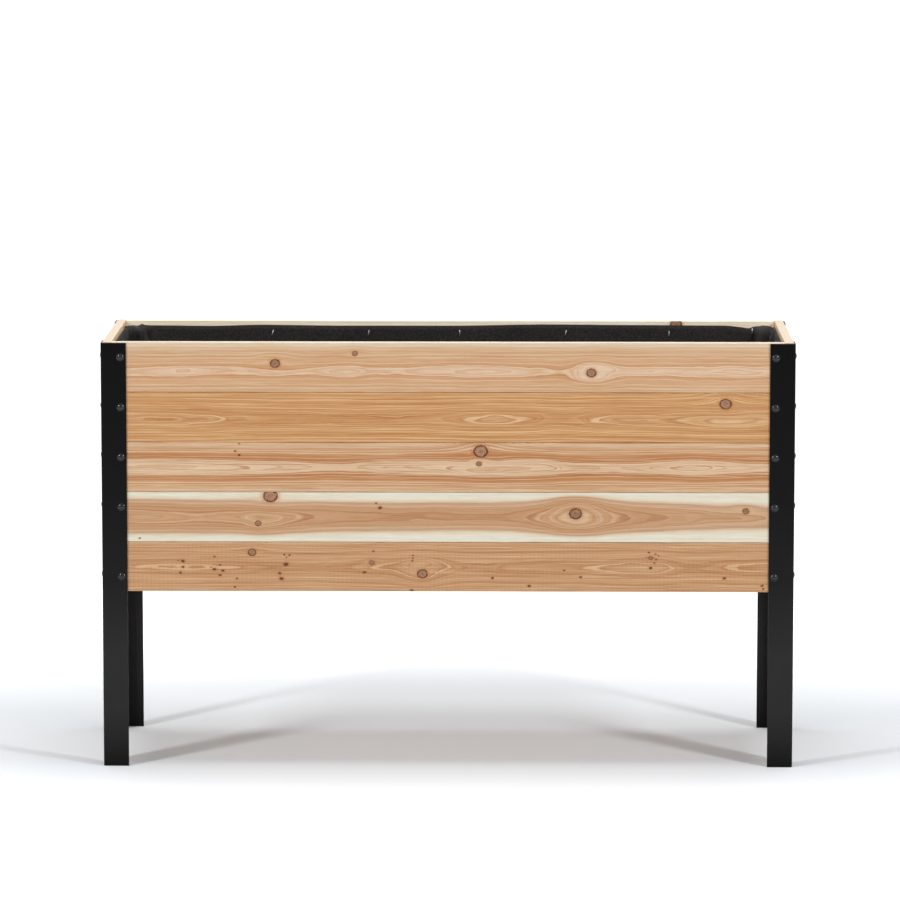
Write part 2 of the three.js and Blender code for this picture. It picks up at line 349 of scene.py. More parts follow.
def cedar_surface_group():
    """The planed face of a board: its lines, fibres, knots and end grain."""
    takes = {"Place": (0.0, 0.0, 0.0), "Colour": painted(205, 165, 125), "Streak": painted(186, 128, 80)}
    takes |= {"Pale": painted(224, 196, 160), "Latewood": 0.0, "Earlywood": 0.0, "Band": 0.5}
    takes |= {"Nearest Knot": 9.0, "Nearest Pin": 9.0, "Line Strength": 0.5, "Band Strength": 0.4}
    takes |= {"Chatter": 0.0, "Seed": 0.0}
    gives = {"Color": 4, "Roughness": 1, "Height": 1}
    group, bench, given, made = new_group("Cedar Surface", takes, gives)
    seeded = bench.vector("ADD", given["Place"], bench.scaled(given["Seed"], (91.0, 13.0, 47.0)))
    fibre = bench.noise(bench.scaled(seeded, (0.03, 0.4, 0.5)), 4.0, 0.72)
    streak = bench.noise(bench.scaled(seeded, (0.007, 0.12, 0.3)), 2.0)
    patch = bench.noise(bench.scaled(seeded, (0.009, 0.02, 0.03)), 1.0)
    # Broad darker and paler layers, then the thin lines of latewood.
    darker = bench.times(bench.steps(given["Band"], 0.5, 0.72), given["Band Strength"])
    paler = bench.times(bench.steps(given["Band"], 0.46, 0.28), given["Band Strength"])
    colour = bench.mix(darker, given["Colour"], given["Streak"])
    colour = bench.mix(paler, colour, given["Pale"])
    early = bench.times(given["Earlywood"], given["Line Strength"])
    colour = bench.mix(bench.times(early, 0.8), colour, given["Pale"])
    line = bench.times(given["Latewood"], given["Line Strength"])
    colour = bench.mix(bench.math("MULTIPLY", line, 1.3, clamp=True), colour, given["Streak"])
    hair = bench.noise(bench.scaled(seeded, (0.006, 0.3, 0.62)), 2.0, 0.6)
    dark_hair = bench.times(bench.steps(hair, 0.52, 0.72), given["Line Strength"])
    colour = bench.mix(bench.times(dark_hair, 0.8), colour, given["Streak"])
    pale_hair = bench.times(bench.steps(hair, 0.46, 0.28), given["Line Strength"])
    colour = bench.mix(bench.times(pale_hair, 0.9), colour, given["Pale"])
    # Fibres, long faint streaks, slow patches and the ripple left by the planer.
    along = bench.split(given["Place"])
    ripple = bench.math("SINE", bench.times(along["X"], 0.85))
    where = bench.steps(bench.noise(bench.scaled(seeded, (0.006, 0.0, 0.03)), 1.0), 0.38, 0.6)
    ripple = bench.times(bench.times(ripple, where), given["Chatter"])
    value = bench.times_plus(fibre, 0.40, 0.80)
    value = bench.times_plus(streak, 0.24, bench.minus(value, 0.12))
    value = bench.times_plus(patch, 0.10, bench.minus(value, 0.05))
    value = bench.plus(value, ripple)
    # Darker wood is redder: blue changes most and red least.
    red = bench.times_plus(value, 0.55, 0.45)
    blue = bench.times_plus(value, 1.6, -0.6)
    colour = bench.mix(1.0, colour, bench.join(red, value, blue), "MULTIPLY")
    # Knots: an orange halo, then grey-brown rings inside a dark edge.
    blotch = bench.noise(bench.scaled(given["Place"], (0.2, 0.2, 0.2)), 3.0, 0.65)
    grit = bench.noise(bench.scaled(given["Place"], (0.5, 0.5, 0.5)), 3.0, 0.7)
    near = given["Nearest Knot"]
    halo = bench.times(bench.steps(near, 1.6, 0.95), bench.steps(blotch, 0.3, 0.7, 0.15, 0.7))
    colour = bench.mix(halo, colour, painted(182, 118, 74))
    rings_place = bench.times_plus(bench.minus(blotch, 0.5), 0.6, near)
    rings = bench.ramp(
        rings_place,
        [
            (0.00, painted(88, 58, 42)),
            (0.14, painted(170, 128, 98)),
            (0.28, painted(116, 82, 64)),
            (0.42, painted(180, 140, 110)),
            (0.55, painted(132, 96, 74)),
            (0.68, painted(168, 124, 92)),
            (0.80, painted(78, 44, 32)),
            (0.92, painted(98, 54, 36)),
            (1.00, painted(158, 100, 62)),
        ],
    )
    knot_tone = bench.noise(bench.scaled(given["Place"], (0.012, 0.0, 0.03)), 1.0)
    shade = bench.steps(knot_tone, 0.3, 0.7, 0.85, 1.15)
    shade = bench.times_plus(bench.minus(grit, 0.5), 1.1, shade)
    rings = bench.mix(1.0, rings, bench.join(shade, shade, shade), "MULTIPLY")
    colour = bench.mix(bench.steps(near, 1.08, 0.86), colour, rings)
    pin = given["Nearest Pin"]
    pin_halo = bench.times(bench.steps(pin, 2.0, 0.9), 0.4)
    colour = bench.mix(pin_halo, colour, painted(178, 112, 70))
    colour = bench.mix(bench.steps(pin, 1.1, 0.5), colour, painted(104, 58, 40))
    # Sawn ends are darker and rougher than the faces.
    facing = bench.split(bench.node("ShaderNodeTexCoord").outputs["Normal"])
    end_grain = bench.steps(bench.math("ABSOLUTE", facing["X"]), 0.6, 0.9)
    colour = bench.mix(bench.times(end_grain, 0.45), colour, painted(150, 104, 70))
    bench.put(made["Color"], colour)
    rough = bench.times_plus(fibre, 0.22, 0.50)
    rough = bench.times_plus(end_grain, 0.2, rough)
    bench.put(made["Roughness"], rough)
    height = bench.times_plus(given["Latewood"], 0.35, bench.times(fibre, 0.5))
    height = bench.plus(height, bench.times(ripple, 4.0))
    height = bench.times_plus(bench.steps(near, 1.1, 0.9), 0.4, height)
    bench.put(made["Height"], height)
    return group


KNOT = knot_group()
PIN_KNOT = pin_knot_group()
GROWTH_LAYERS = growth_group()
CEDAR_SURFACE = cedar_surface_group()


@dataclass
class Timber:
    """What one board was cut from. Lengths are in millimetres.

    heart is the height of the heart line and depth how far behind the face the pith lies. colours
    gives the wood's colour at distances from the heart line, figure how many millimetres further out
    the growth on the heart line is at places along the board, measured from its middle. knots and
    pins are (along, up, radius), and a knot's last number is how far it swells the layers round it.
    lines and bands say how strongly the thin and the broad layers show. Beyond the distance sapwood
    they don't. The colour given for the upward faces, where there is one, is painted light from above.
    """

    colours: list
    streak: tuple
    pale: tuple
    heart: float = 44.0
    depth: float = 60.0
    figure: tuple = ((-600, 0), (600, 0))
    knots: tuple = ()
    pins: tuple = ()
    wander: float = 0.5
    ring: float = 0.8
    lines: float = 0.5
    bands: float = 0.35
    chatter: float = 0.0
    seed: float = 0.0
    sapwood: float = None
    painted_top_light: tuple = None

    def growth_at(self, distance):
        """The growth that shows on the face at a distance from the heart line."""
        return math.copysign(math.hypot(distance, self.depth) - self.depth, distance)


def share_of_growth(growth):
    return (growth - GROWTH_LOW) / (GROWTH_HIGH - GROWTH_LOW)


def cedar(name, timber):
    """The material of one board."""
    material, bench, sockets = new_material(name, Specular_IOR_Level=0.25, IOR=1.45)
    place = place_in_mm(bench)
    ragged = bench.noise(bench.scaled(place, (0.3, 0.3, 0.3)), 2.0)
    ragged = bench.times_plus(ragged, 3.0, -1.5)
    knot_place = bench.vector("ADD", place, bench.join(ragged, 0.0, ragged))
    bend = bench.join(0.0, 9.0, 0.0)
    for along, up, radius, swell in timber.knots:
        values = {"Place": knot_place, "Bend": bend, "Centre": (along, 0.0, up), "Size": radius}
        bend = bench.group(KNOT, values | {"Swell": swell})["Bend"]
    nearest = bench.split(bend)["Y"]
    nearest_pin = 9.0
    for along, up, radius in timber.pins:
        values = {"Place": knot_place, "Nearest": nearest_pin, "Centre": (along, 0.0, up)}
        nearest_pin = bench.group(PIN_KNOT, values | {"Size": radius * PIN_CORE})["Nearest"]
    along = bench.times_plus(bench.split(place)["X"], 0.5 / FIGURE_HALF, 0.5)
    points = [(0.5 + x / FIGURE_HALF / 2, 0.5 + growth / FIGURE_REACH / 2) for x, growth in timber.figure]
    figure = bench.times_plus(bench.curve(along, points), 2 * FIGURE_REACH, -FIGURE_REACH)
    values = {"Place": place, "Bend": bend, "Figure": figure, "Heart Height": timber.heart}
    values |= {"Heart Depth": timber.depth, "Wander": timber.wander, "Ring Width": timber.ring}
    layers = bench.group(GROWTH_LAYERS, values | {"Seed": timber.seed})
    share = bench.spread(layers["Growth"], GROWTH_LOW, GROWTH_HIGH)
    stops = [(share_of_growth(timber.growth_at(far)), painted(*shade)) for far, shade in timber.colours]
    values = {"Place": place, "Colour": bench.ramp(share, stops), "Streak": painted(*timber.streak)}
    values |= {"Pale": painted(*timber.pale), "Latewood": layers["Latewood"], "Band": layers["Band"]}
    values |= {"Earlywood": layers["Earlywood"]}
    lines, bands = timber.lines, timber.bands
    if timber.sapwood is not None:
        start = timber.growth_at(timber.sapwood)
        heartwood = bench.steps(layers["Growth"], start + 0.8, start - 0.8)
        lines = bench.times(heartwood, lines)
        bands = bench.times(heartwood, bands)
    values |= {"Nearest Knot": nearest, "Nearest Pin": nearest_pin}
    values |= {"Line Strength": lines, "Band Strength": bands}
    surface = bench.group(CEDAR_SURFACE, values | {"Chatter": timber.chatter, "Seed": timber.seed})
    colour = surface["Color"]
    # Upward faces are mixed towards a paler colour: painted light from above on the boards' top edges.
    if timber.painted_top_light is not None:
        facing = bench.split(bench.node("ShaderNodeTexCoord").outputs["Normal"])
        colour = bench.mix(bench.steps(facing["Z"], 0.5, 0.9, 0.0, 0.85), colour, painted(*timber.painted_top_light))
    dress(bench, sockets, colour, surface["Roughness"], surface["Height"], 0.12)
    return material


PEACH = dict(
    colours=[
        (-8, (217, 188, 159)),
        (0, (214, 182, 153)),
        (6.5, (214, 182, 152)),
        (8.2, (219, 190, 160)),
        (9.2, (184, 124, 76)),
        (10.2, (199, 152, 109)),
        (14, (203, 162, 123)),
        (16.2, (215, 180, 146)),
        (16.9, (188, 132, 86)),
        (18, (201, 159, 119)),
        (26, (202, 164, 127)),
        (36, (204, 168, 132)),
        (42, (210, 181, 148)),
        (48, (218, 199, 172)),
    ],
    streak=(188, 128, 78),
    pale=(226, 200, 170),
)
GOLD = dict(
    colours=[
        (-18, (214, 178, 136)),
        (-14, (203, 156, 108)),
        (-12.4, (214, 176, 132)),
        (-11.4, (178, 122, 74)),
        (-10, (202, 155, 108)),
        (-5, (212, 172, 128)),
        (0, (213, 174, 130)),
        (3.4, (215, 177, 134)),
        (4.6, (180, 124, 76)),
        (6.5, (196, 147, 98)),
        (14, (195, 145, 96)),
        (26, (199, 149, 99)),
        (42, (206, 157, 106)),
    ],
    streak=(168, 106, 56),
    pale=(222, 185, 138),
)
STRIPED = dict(
    colours=[
        (-10, (216, 186, 152)),
        (-2, (213, 181, 147)),
        (0.5, (217, 187, 154)),
        (2.5, (188, 134, 88)),
        (4, (212, 180, 146)),
        (8, (213, 180, 146)),
        (12, (216, 184, 150)),
        (13.5, (190, 134, 88)),
        (16, (184, 128, 82)),
        (19, (194, 142, 96)),
        (21, (180, 122, 76)),
        (24, (187, 132, 86)),
        (26.5, (212, 174, 134)),
        (28.5, (186, 132, 86)),
        (31.5, (190, 138, 92)),
        (33, (212, 176, 138)),
        (36, (200, 154, 110)),
        (38, (216, 184, 150)),
        (44, (213, 178, 143)),
    ],
    streak=(166, 105, 60),
    pale=(224, 196, 164),
)
SAPPY = dict(
    colours=[
        (-18, (200, 158, 116)),
        (-15, (214, 182, 148)),
        (-13, (184, 136, 94)),
        (-9, (212, 178, 142)),
        (-5.5, (214, 182, 148)),
        (-3.5, (178, 126, 84)),
        (0, (196, 152, 110)),
        (6, (190, 144, 103)),
        (9, (203, 164, 128)),
        (11, (186, 138, 98)),
        (18, (191, 148, 109)),
        (23, (196, 156, 119)),
        (27, (201, 166, 134)),
        (30, (209, 180, 152)),
        (34, (219, 205, 180)),
        (38, (223, 215, 195)),
    ],
    streak=(160, 106, 66),
    pale=(212, 176, 142),
)
TAN = dict(
    colours=[
        (-12, (204, 164, 124)),
        (0, (201, 162, 122)),
        (4, (206, 168, 129)),
        (5.2, (176, 122, 78)),
        (7, (197, 153, 112)),
        (12, (202, 161, 121)),
        (12.8, (182, 130, 86)),
        (16, (194, 150, 109)),
        (28, (194, 150, 108)),
        (42, (201, 160, 120)),
    ],
    streak=(164, 108, 66),
    pale=(214, 177, 138),
)
CREAM = dict(
    colours=[
        (-8, (250, 237, 212)),
        (0, (249, 235, 208)),
        (20, (247, 231, 203)),
        (44, (250, 239, 216)),
    ],
    streak=(226, 196, 156),
    pale=(249, 240, 222),
)

FRONT_TIMBER = {
    1: Timber(
        # The paler colour on its upper edge is painted light from above.
        **PEACH, heart=37, seed=1.3, wander=0.42, lines=0.46, bands=0.34, painted_top_light=(212, 205, 192),
        figure=((-600, 0.3), (-330, 0.25), (-240, 0.5), (-180, 0.0), (-118, 0.5), (-60, 0.1), (150, 0.1),
                (209, 0.3), (253, -0.4), (319, 0.3), (400, 0.0), (600, 0.1)),
        knots=((-305, 51, 9, 0.5), (-164, 69, 5, 0.3), (253, 35, 9, 0.8)),
    ),
    2: Timber(
        **GOLD, heart=41, seed=2.7, wander=0.35, lines=0.75, bands=0.6,
        figure=((-600, -0.6), (-450, -0.3), (-373, 0.6), (-300, 1.0), (-60, 1.0), (0, 0.45), (63, -0.2),
                (150, 0.2), (190, 1.0), (225, 0.8), (250, 0.2), (330, -0.6), (415, -1.3), (501, -2.4),
                (600, -1.6)),
        knots=((490, 69, 11, 1.0),),
    ),
    3: Timber(
        **STRIPED, heart=44, seed=3.9, wander=0.3, lines=0.75, bands=0.5,
        figure=((-600, -0.6), (-420, -0.4), (-349, 0.1), (-264, 0.5), (-200, 0.7), (-152, 0.4), (-60, 0.0),
                (27, -0.4), (60, -0.9), (188, -0.4), (203, 0.0), (300, 0.5), (395, -0.1), (436, -0.5),
                (477, -0.1), (550, 0.4), (600, 0.6)),
        knots=((58, 73, 13, 1.2), (55, 51, 5, 0.4)),
        pins=((-376, 73, 2), (-369, 66, 2.5), (-369, 86, 1.5)),
    ),
    4: Timber(
        **SAPPY, heart=45, seed=4.1, wander=0.4, lines=0.4, bands=0.4,
        sapwood=32,
        figure=((-600, -0.1), (-520, 0.0), (-440, 0.5), (-375, 0.1), (-322, -0.9), (-285, 0.0), (-230, 1.2),
                (-100, 2.2), (60, 2.4), (170, 0.4),
                (226, -1.0), (292, 0.4), (360, 2.0), (440, 3.2), (600, 4.9)),
        knots=((-314, 82, 13, 0.6), (-336, 33, 5.5, 0.5), (226, 51, 11.5, 1.6), (527, 56, 6, 0.4)),
        pins=((-127, 69, 2), (-120, 61, 3.5), (-546, 6, 1.5)),
    ),
    5: Timber(
        **TAN, heart=43.5, seed=5.2, wander=0.35, lines=0.8, bands=0.6, chatter=0.035,
        figure=((-600, 0.6), (-450, 0.0), (-340, 0.7), (-240, 1.2), (-209, 0.9), (-96, -0.3), (-50, -1.0),
                (-7, 0.0), (60, 0.9), (111, 0.6), (234, 0.0), (359, -1.0), (397, -0.2), (440, 0.7),
                (507, 0.0), (600, -0.4)),
        knots=((-347, 70, 7.5, 0.5), (-135, 52, 5, 0.4), (-45, 32, 9.5, 0.8), (359, 61, 4, 0.5)),
        pins=((-470, 54, 3.5), (-478, 55, 1.5), (-470, 43.5, 2.5), (-474, 33.5, 2.5), (-414, 62, 2),
              (-404, 47, 2), (-420, 43, 1.5), (-414, 39.5, 3.5), (-399, 37, 3), (-404, 29, 2.5),
              (-374, 23, 2), (-378, 8, 2), (-290, 66, 1.8), (-281, 65, 1.8), (-286, 61, 1.5),
              (-287, 48.5, 4.5), (-298, 32.5, 3), (-295, 23, 4), (-132, 72.5, 2), (-148, 34.5, 3),
              (-62, 65, 1.6), (-62, 60, 1.6), (-63, 55, 1.6), (-64, 2, 3), (79, 24.5, 2.5), (144, 10.5, 3),
              (206, 38.5, 2), (235, 26.5, 2.5), (356, 71, 2), (368, 68, 1.6), (373, 65, 1.5), (369, 58, 1.8),
              (366, 52, 1.8), (359, 43, 3), (490, 25, 3), (557, 11.5, 2.5), (559, 6, 2)),
    ),
}
# The pale peach that the end walls' top boards are mixed towards: painted light on their inner faces.
PAINTED_LIGHT_PEACH = (255, 224, 184)
# Paler colour for the upper edges of top boards: painted light from above.
PAINTED_TOP_LIGHT = (200, 189, 173)
ROW_WOOD = {1: PEACH, 2: GOLD, 3: STRIPED, 4: SAPPY, 5: TAN}


def other_timber(row, seed, half_length, wood=None):
    """Timber for a board of another wall: the row's wood, with a heart line, figure and knots of its own."""
    rng = random.Random(seed)
    figure = []
    places = 9
    for step in range(places):
        along = FIGURE_HALF * (2 * step / (places - 1) - 1)
        figure.append((along, rng.uniform(-1.1, 1.3)))
    knots = []
    for _ in range(rng.choice((1, 2, 2, 3)) if half_length > 300 else rng.choice((0, 1))):
        along = rng.uniform(-0.85, 0.85) * half_length
        knots.append((along, rng.uniform(14, 76), rng.uniform(4.5, 11), rng.uniform(0.4, 1.2)))
    pins = []
    for _ in range(rng.randrange(0, 5) if half_length > 300 else rng.randrange(0, 2)):
        pins.append((rng.uniform(-0.9, 0.9) * half_length, rng.uniform(8, 82), rng.uniform(1.5, 3)))
    # Only top boards get the paler upper edge: painted light from above.
    painted_top_light = PAINTED_TOP_LIGHT if row == 1 else None
    return Timber(
        **(wood or ROW_WOOD[row]), heart=rng.uniform(34, 54), depth=rng.uniform(52, 70), figure=figure,
        knots=knots, pins=pins, wander=rng.uniform(0.25, 0.4), lines=rng.uniform(0.5, 0.65),
        bands=rng.uniform(0.3, 0.45), seed=rng.uniform(6, 40), painted_top_light=painted_top_light,
    )


def mixed_with_painted_light(wood, share):
    """The same wood, with every colour mixed towards pale peach by the share: painted light."""

    def mixed(colour):
        return tuple(round(old + (new - old) * share) for old, new in zip(colour, PAINTED_LIGHT_PEACH))

    stops = [(distance, mixed(colour)) for distance, colour in wood["colours"]]
    return wood | {"colours": stops, "pale": mixed(wood["pale"])}


def back_top_timber():
    """The back's top board: sapwood, with one reddish knot by its upper edge."""
    timber = other_timber(1, 71, HALF_LENGTH, CREAM)
    timber.knots = ((-414, 82, 11, 0.8), (120, 30, 7, 0.5))
    timber.pins = ()
    # A paler colour on its upper edge: painted light from above.
    timber.painted_top_light = (246, 238, 222)
    return timber


def rough_cedar():
    """Sawn cedar, for what the liner hides."""
    material, bench, sockets = new_material("rough_cedar", Specular_IOR_Level=0.2, IOR=1.45)
    place = place_in_mm(bench)
    across = bench.split(place)
    grain_place = bench.join(across["Y"], across["Z"], across["X"])
    values = {"Place": grain_place, "Heart Height": 0.0, "Heart Depth": 420.0, "Wander": 1.2}
    layers = bench.group(GROWTH_LAYERS, values | {"Ring Width": 2.4, "Seed": 9.1})
    values = {"Place": grain_place, "Colour": painted(196, 152, 110), "Streak": painted(164, 112, 72)}
    values |= {"Pale": painted(214, 180, 142), "Latewood": layers["Latewood"], "Band": layers["Band"]}
    surface = bench.group(CEDAR_SURFACE, values | {"Line Strength": 0.5, "Chatter": 0.03, "Seed": 9.1})
    dress(bench, sockets, surface["Color"], surface["Roughness"], surface["Height"], 0.3)
    return material


# ---------------------------------------------------------------- steel, wire and cloth

def coated_metal_group():
    """A thin coat on metal: a fine ripple, faint specks of dust and slightly uneven gloss."""
    takes = {"Place": (0.0, 0.0, 0.0), "Colour": painted(28, 28, 30), "Dust": painted(96, 94, 92)}
    takes |= {"Gloss": 0.4, "Ripple": 0.5}
    group, bench, given, made = new_group("Coated Metal", takes, {"Color": 4, "Roughness": 1, "Height": 1})
    peel = bench.noise(bench.scaled(given["Place"], (0.9, 0.9, 0.9)), 2.0)
    cloud = bench.noise(bench.scaled(given["Place"], (0.012, 0.012, 0.012)), 3.0)
    speck = bench.noise(bench.scaled(given["Place"], (0.5, 0.5, 0.5)), 4.0, 0.7)
    dust = bench.times(bench.steps(speck, 0.66, 0.8), 0.25)
    value = bench.times_plus(cloud, 0.3, 0.85)
    colour = bench.mix(1.0, given["Colour"], bench.join(value, value, value), "MULTIPLY")
    bench.put(made["Color"], bench.mix(dust, colour, given["Dust"]))
    rough = bench.minus(1.0, given["Gloss"])
    rough = bench.times_plus(bench.minus(cloud, 0.5), 0.2, rough)
    bench.put(made["Roughness"], bench.plus(rough, bench.times(dust, 0.5)))
    bench.put(made["Height"], bench.times(peel, given["Ripple"]))
    return group


COATED_METAL = coated_metal_group()


def coated(name, colour, gloss, ripple, metallic=0.0, specular=0.5):
    material, bench, sockets = new_material(name, Metallic=metallic, Specular_IOR_Level=specular)
    values = {"Place": place_in_mm(bench), "Colour": painted(*colour), "Gloss": gloss, "Ripple": ripple}
    coat = bench.group(COATED_METAL, values)
    dress(bench, sockets, coat["Color"], coat["Roughness"], coat["Height"], 0.06)
    return material


def black_steel():
    """Powder-coated steel. Its colour is lighter low on the legs, darker at the foot and darkest at the top:
    painted reflection of the bright floor low on the legs, and painted shade at the foot and above.
    """
    material, bench, sockets = new_material("black_powder_coat", Specular_IOR_Level=0.06)
    place = place_in_mm(bench)
    # Colour by height on the leg: painted reflection of the floor, lighter low on the legs, darker at the
    # foot and at the top.
    painted_floor_reflection = bench.ramp(
        bench.spread(bench.split(place)["Z"], 0.0, LEG_HEIGHT),
        [
            (0.00, painted(18, 18, 19)),
            (0.06, painted(34, 33, 34)),
            (0.14, painted(43, 42, 43)),
            (0.27, painted(42, 41, 42)),
            (0.43, painted(26, 26, 27)),
            (0.64, painted(14, 14, 15)),
            (1.00, painted(4, 4, 4)),
        ],
    )
    coat = bench.group(COATED_METAL, {"Place": place, "Colour": painted_floor_reflection, "Gloss": 0.6, "Ripple": 0.4})
    dress(bench, sockets, coat["Color"], coat["Roughness"], coat["Height"], 0.06)
    return material


def ground_cloth():
    """Black woven ground cloth."""
    material, bench, sockets = new_material("ground_cloth", Specular_IOR_Level=0.15, Sheen_Weight=0.04)
    sockets["Sheen Roughness"].default_value = 0.5
    place = bench.split(place_in_mm(bench))
    facing = bench.split(bench.node("ShaderNodeTexCoord").outputs["Normal"])
    flat = bench.steps(bench.math("ABSOLUTE", facing["Z"]), 0.6, 0.8)
    around = bench.plus(place["X"], place["Y"])
    across = bench.minus(place["X"], place["Y"])
    down = bench.times_plus(across, flat, place["Z"])
    warp = bench.math("SINE", bench.times(around, 3.1))
    weft = bench.math("SINE", bench.times(down, 3.1))
    weave = bench.times_plus(bench.times(warp, weft), 0.5, 0.5)
    whole = bench.join(place["X"], place["Y"], place["Z"])
    speck = bench.noise(bench.scaled(whole, (0.38, 0.38, 0.38)), 4.0, 0.8)
    cloud = bench.noise(bench.scaled(whole, (0.02, 0.02, 0.02)), 3.0)
    colour = bench.mix(bench.steps(speck, 0.3, 0.8), painted(12, 11, 12), painted(60, 54, 52))
    colour = bench.mix(bench.steps(speck, 0.66, 0.74), colour, painted(104, 98, 96))
    colour = bench.mix(bench.times(weave, 0.25), colour, painted(42, 39, 38))
    value = bench.times_plus(cloud, 0.5, 0.75)
    colour = bench.mix(1.0, colour, bench.join(value, value, value), "MULTIPLY")
    roughness = bench.times_plus(speck, 0.2, 0.7)
    height = bench.times_plus(speck, 0.6, bench.times(weave, 0.5))
    dress(bench, sockets, colour, roughness, height, 0.25)
    return material


# ---------------------------------------------------------------- mesh work

def link(name, mesh, matrix=None):
    piece = bpy.data.objects.new(name, mesh)
    SCENE.collection.objects.link(piece)
    if matrix is not None:
        piece.matrix_world = matrix
    return piece


CREASE = 32.0  # edges that turn by more degrees than this stay crisp


def mesh_of(name, points, faces, material, sharp=CREASE):
    """A closed mesh from points in millimetres, smooth but for edges sharper than the given angle."""
    mesh = bpy.data.meshes.new(name)
    mesh.from_pydata([(x * MM, y * MM, z * MM) for x, y, z in points], [], faces)
    tidy = bmesh.new()
    tidy.from_mesh(mesh)
    bmesh.ops.remove_doubles(tidy, verts=tidy.verts, dist=1e-6)
    bmesh.ops.recalc_face_normals(tidy, faces=tidy.faces)
    tidy.to_mesh(mesh)
    tidy.free()
    mesh.shade_smooth()
    mesh.set_sharp_from_angle(angle=math.radians(sharp))
    mesh.materials.append(material)
    return mesh


def loft(rings, closed_ends=True):
    """Points and faces of a skin over rings of equally many points."""
    count = len(rings[0])
    points = [point for ring in rings for point in ring]
    faces = []
    for ring in range(len(rings) - 1):
        for step in range(count):
            here = ring * count
            following = (step + 1) % count
            faces.append((here + step, here + following, here + count + following, here + count + step))
    if closed_ends:
        faces.append(tuple(range(count - 1, -1, -1)))
        faces.append(tuple(range(len(points) - count, len(points))))
    return points, faces


def rounded(corners, steps=3):
    """An outline whose corners, given as (x, y, radius), are rounded off."""
    outline = []
    for index, (x, y, radius) in enumerate(corners):
        here = Vector((x, y))
        if radius <= 0:
            outline.append((x, y))
            continue
        before = Vector(corners[index - 1][:2]) - here
        after = Vector(corners[(index + 1) % len(corners)][:2]) - here
        opening = before.angle(after)
        start = here + before.normalized() * radius / math.tan(opening / 2)
        end = here + after.normalized() * radius / math.tan(opening / 2)
        halfway = (before.normalized() + after.normalized()).normalized()
        middle = here + halfway * radius / math.sin(opening / 2)
        first = start - middle
        last = end - middle
        sweep = first.angle_signed(last)
        for step in range(steps + 1):
            turned = Matrix.Rotation(-sweep * step / steps, 2) @ first
            outline.append(tuple(middle + turned))
    return outline


def lathe(profile, sides):
    """Rings round the Y axis from a profile of (radius, along)."""
    rings = []
    for radius, along in profile:
        ring = []
        for side in range(sides):
            angle = 2 * math.pi * side / sides
            ring.append((radius * math.cos(angle), along, radius * math.sin(angle)))
        rings.append(ring)
    return loft(rings)


def drilled(piece, cutters):
    """Cuts the cutters' shapes out of a piece, in its own mesh."""
    group = bpy.data.collections.new("cutters")
    for cutter in cutters:
        group.objects.link(cutter)
    cut = piece.modifiers.new("holes", "BOOLEAN")
    cut.operand_type = "COLLECTION"
    cut.collection = group
    cut.solver = "EXACT"
    bpy.context.view_layer.update()
    evaluated = piece.evaluated_get(bpy.context.evaluated_depsgraph_get())
    mesh = bpy.data.meshes.new_from_object(evaluated)
    mesh.name = piece.name
    piece.modifiers.clear()
    old = piece.data
    piece.data = mesh
    bpy.data.meshes.remove(old)
    for cutter in cutters:
        bpy.data.objects.remove(cutter)
    bpy.data.collections.remove(group)
    mesh.set_sharp_from_angle(angle=math.radians(CREASE))


def even_shading(piece):
    """Keeps the shading of wide faces flat right up to their rounded edges."""
    shading = piece.modifiers.new("even_shading", "WEIGHTED_NORMAL")
    shading.keep_sharp = True


# ---------------------------------------------------------------- boards

BOARD_ROUND = 1.1
TONGUE_THICKNESS = 5.0
TONGUE_PLAY = 0.3
GROOVE_DEPTH = 6.0
END_ROUND = 0.5
LONG_BOARD_CORNER = 0.5
END_BOARD_CORNER = 1.5  # clears the bend of the leg
EDGE_WANDER = 0.16
HOLE_RADIUS = 3.5
HOLE_SIDES = 20


def board_section(row):
    """The section of a board, as (depth, height)."""
    middle = BOARD_THICKNESS / 2
    groove = TONGUE_THICKNESS / 2 + TONGUE_PLAY
    tongue = TONGUE_THICKNESS / 2
    corners = [(0, 0, BOARD_ROUND)]
    if row < ROWS[-1]:
        corners += [(middle - groove, 0, 0.3), (middle - groove, GROOVE_DEPTH, 0)]
        corners += [(middle + groove, GROOVE_DEPTH, 0), (middle + groove, 0, 0.3)]
    corners += [(BOARD_THICKNESS, 0, BOARD_ROUND), (BOARD_THICKNESS, BOARD_FACE, BOARD_ROUND)]
    if row > 1:
        top = BOARD_FACE + TONGUE_HEIGHT
        corners += [(middle + tongue, BOARD_FACE, 0), (middle + tongue, top, 0.6)]
        corners += [(middle - tongue, top, 0.6), (middle - tongue, BOARD_FACE, 0)]
    corners += [(0, BOARD_FACE, BOARD_ROUND)]
    return rounded(corners)


def board_mesh(name, row, length, corner, seed, material):
    """A board along X. Its long edges wander by a tenth of a millimetre or so, as planed edges do."""
    section = board_section(row)
    half = length / 2
    inset = END_ROUND
    places = [-half, -half + inset * 0.3, -half + inset, -half + corner, -half + corner + 1.5]
    spans = max(4, round(length / 40))
    inner = half - corner - 4
    places += [-inner + 2 * inner * step / spans for step in range(spans + 1)]
    places += [-place for place in reversed(places[:5])]
    places = sorted(set(round(place, 4) for place in places))
    rings = []
    for place in places:
        from_end = half - abs(place)
        shrink = inset * (1 - math.sqrt(max(0.0, 1 - (1 - min(1.0, from_end / inset)) ** 2)))
        ring = []
        for depth, height in section:
            upper = round(height / BOARD_FACE)
            edge = EDGE_WANDER * noise.noise(Vector((place * 0.009, seed * 3.7, upper * 5.0)))
            y = depth + (shrink if depth < BOARD_THICKNESS / 2 else -shrink)
            z = height + (shrink if height < BOARD_FACE / 2 else -shrink) + edge
            ring.append((place, max(y, corner - from_end), z))
        rings.append(ring)
    points, faces = loft(rings)
    return mesh_of(name, points, faces, material)


